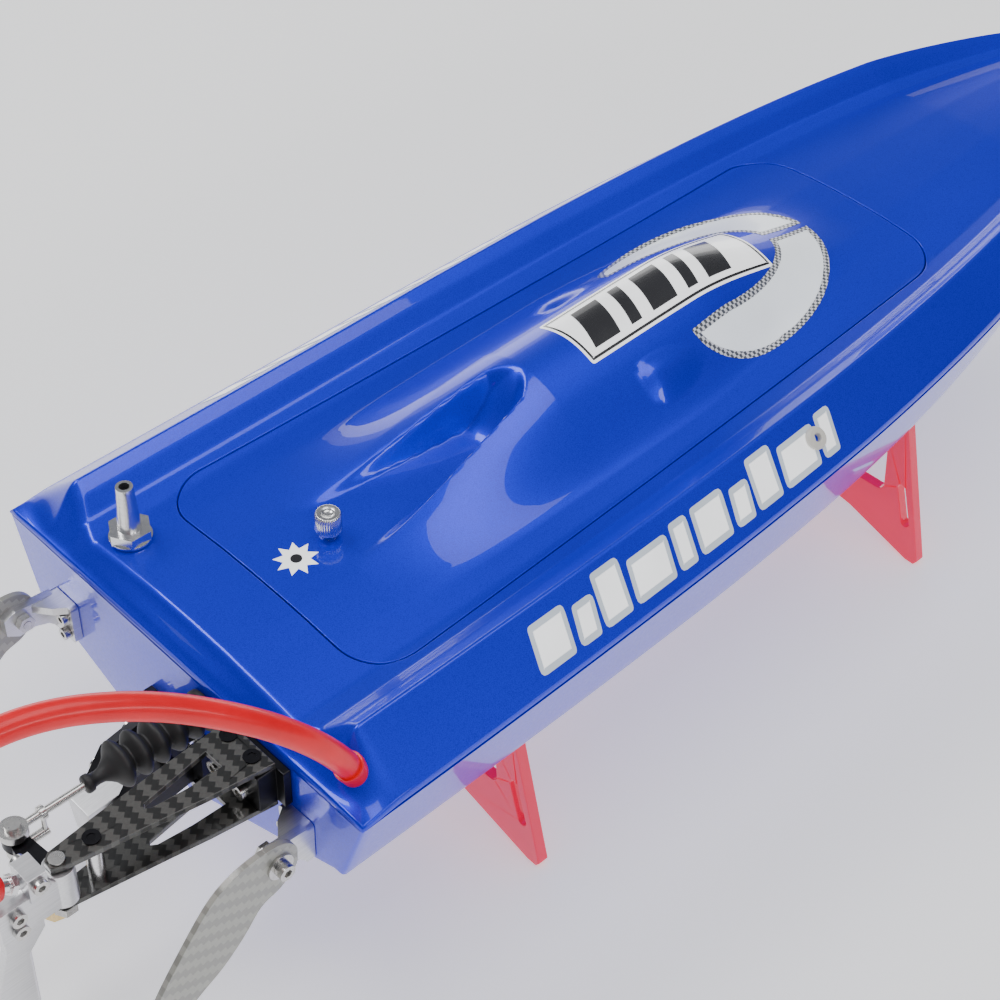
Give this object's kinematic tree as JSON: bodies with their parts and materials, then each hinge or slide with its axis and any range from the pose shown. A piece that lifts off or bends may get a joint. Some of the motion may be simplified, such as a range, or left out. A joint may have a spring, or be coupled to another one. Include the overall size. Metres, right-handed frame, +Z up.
{
  "type": "rc boat",
  "caption": "Radio-controlled deep-V racing boat with lift-off hatch, outboard rudder on carbon arm, turn fins, cooling hose and display stand.",
  "frame": {"origin": "bottom centre of the box of boat and stand, on the surface the stand rests on", "axes": "+X towards the bow, +Y to port, +Z up"},
  "size_m": [0.6295, 0.176, 0.1717],
  "materials": {
    "hull_paint": "metallic gloss lacquer",
    "carbon": "twill carbon fibre, satin",
    "aluminium": "machined",
    "black_anodised": "black anodised",
    "blue_anodised": "blue anodised",
    "steel": "stainless",
    "brass": "machined",
    "red_silicone": "satin silicone",
    "black_rubber": "matt",
    "white_plastic": "moulded",
    "black_plastic": "moulded",
    "clear_plastic": "translucent moulded",
    "battery_wrap": "shrink wrap",
    "plywood": "varnished plywood",
    "wire": "silicone wire",
    "red_acrylic": "polished acrylic"
  },
  "bodies": {
    "hull": {"hull_shell": "hull_paint", "deck_shell": "hull_paint", "hatch_crossbar": "plywood", "outlet_nipple": "aluminium", "outlet_nut": "aluminium", "hose_grommet": "red_silicone", "side_outlet": "white_plastic", "cooling_hose": "red_silicone", "motor_feed_hose": "red_silicone", "motor_return_hose": "red_silicone", "motor_can": "black_anodised", "motor_jacket": "blue_anodised", "motor_mount": "aluminium", "esc_case": "black_plastic", "esc_leads": "wire", "battery_port": "battery_wrap", "battery_starboard": "battery_wrap", "battery_tray_port": "black_plastic", "battery_tray_starboard": "black_plastic", "radio_box": "clear_plastic", "radio_lid": "clear_plastic", "receiver": "black_plastic", "steering_servo": "black_plastic", "servo_mount": "plywood", "pushrod_bellows": "black_rubber", "rudder_block": "black_anodised", "arm_top_plate": "carbon", "arm_bottom_plate": "carbon", "arm_spacers": "aluminium", "arm_screws": "black_anodised", "rudder_pin": "steel", "strut_bracket": "black_anodised", "strut_barrel": "aluminium", "strut_bushes": "brass", "transom_screws": "steel", "fin_bracket_port": "aluminium", "fin_bracket_starboard": "aluminium", "turn_fin_port": "carbon", "turn_fin_starboard": "carbon", "fin_screws": "steel", "stuffing_tube": "brass"},
    "hatch": {"hatch_cover": "hull_paint", "hatch_seal": "black_rubber"},
    "thumb_screw": {"thumb_screw": "aluminium"},
    "rudder": {"rudder_yoke": "aluminium", "rudder_blade": "aluminium", "yoke_screws": "steel", "tiller_horn": "black_anodised", "rudder_nipple": "aluminium"},
    "pushrod": {"pushrod": "steel"},
    "servo_horn": {"servo_horn": "white_plastic"},
    "drive_line": {"motor_rotor": "steel", "shaft_coupler": "aluminium", "drive_shaft": "steel", "drive_dog": "aluminium", "propeller": "brass", "propeller_nut": "aluminium"},
    "stand": {"stand_plate_rear": "red_acrylic", "stand_plate_front": "red_acrylic", "stand_spine": "red_acrylic"}
  },
  "joints": [
    {"name": "stand_lift_off", "type": "slide", "parent": "hull", "child": "stand", "axis": [0, 0, -1], "range_m": [0, 0.12]},
    {"name": "hatch_lift_off", "type": "slide", "parent": "hull", "child": "hatch", "axis": [0, 0, 1], "range_m": [0, 0.06]},
    {"name": "thumb_screw_turn", "type": "hinge", "parent": "hatch", "child": "thumb_screw", "pos_m": [-0.14325, 0, 0.117], "axis": [0, 0, 1], "continuous": true},
    {"name": "rudder_turn", "type": "hinge", "parent": "hull", "child": "rudder", "pos_m": [-0.27375, -0.039, 0.093], "axis": [0, 0, 1], "range_deg": [-30, 30], "deforming": ["cooling_hose"]},
    {"name": "pushrod_slide", "type": "slide", "parent": "hull", "child": "pushrod", "axis": [1, 0, 0], "range_m": [-0.0127, 0.0127], "deforming": ["pushrod_bellows"]},
    {"name": "servo_horn_turn", "type": "hinge", "parent": "hull", "child": "servo_horn", "pos_m": [-0.12025, -0.033, 0.0905], "axis": [0, 0, 1], "range_deg": [-41, 41]},
    {"name": "drive_line_spin", "type": "hinge", "parent": "hull", "child": "drive_line", "pos_m": [-0.26525, 0, 0.044], "axis": [0.9955, 0, 0.0948], "continuous": true}
  ],
  "couplings": [
    {"joint": "pushrod_slide", "follows": "rudder_turn", "m_per_rad": -0.0236},
    {"joint": "servo_horn_turn", "follows": "rudder_turn", "ratio": 1.341}
  ]
}
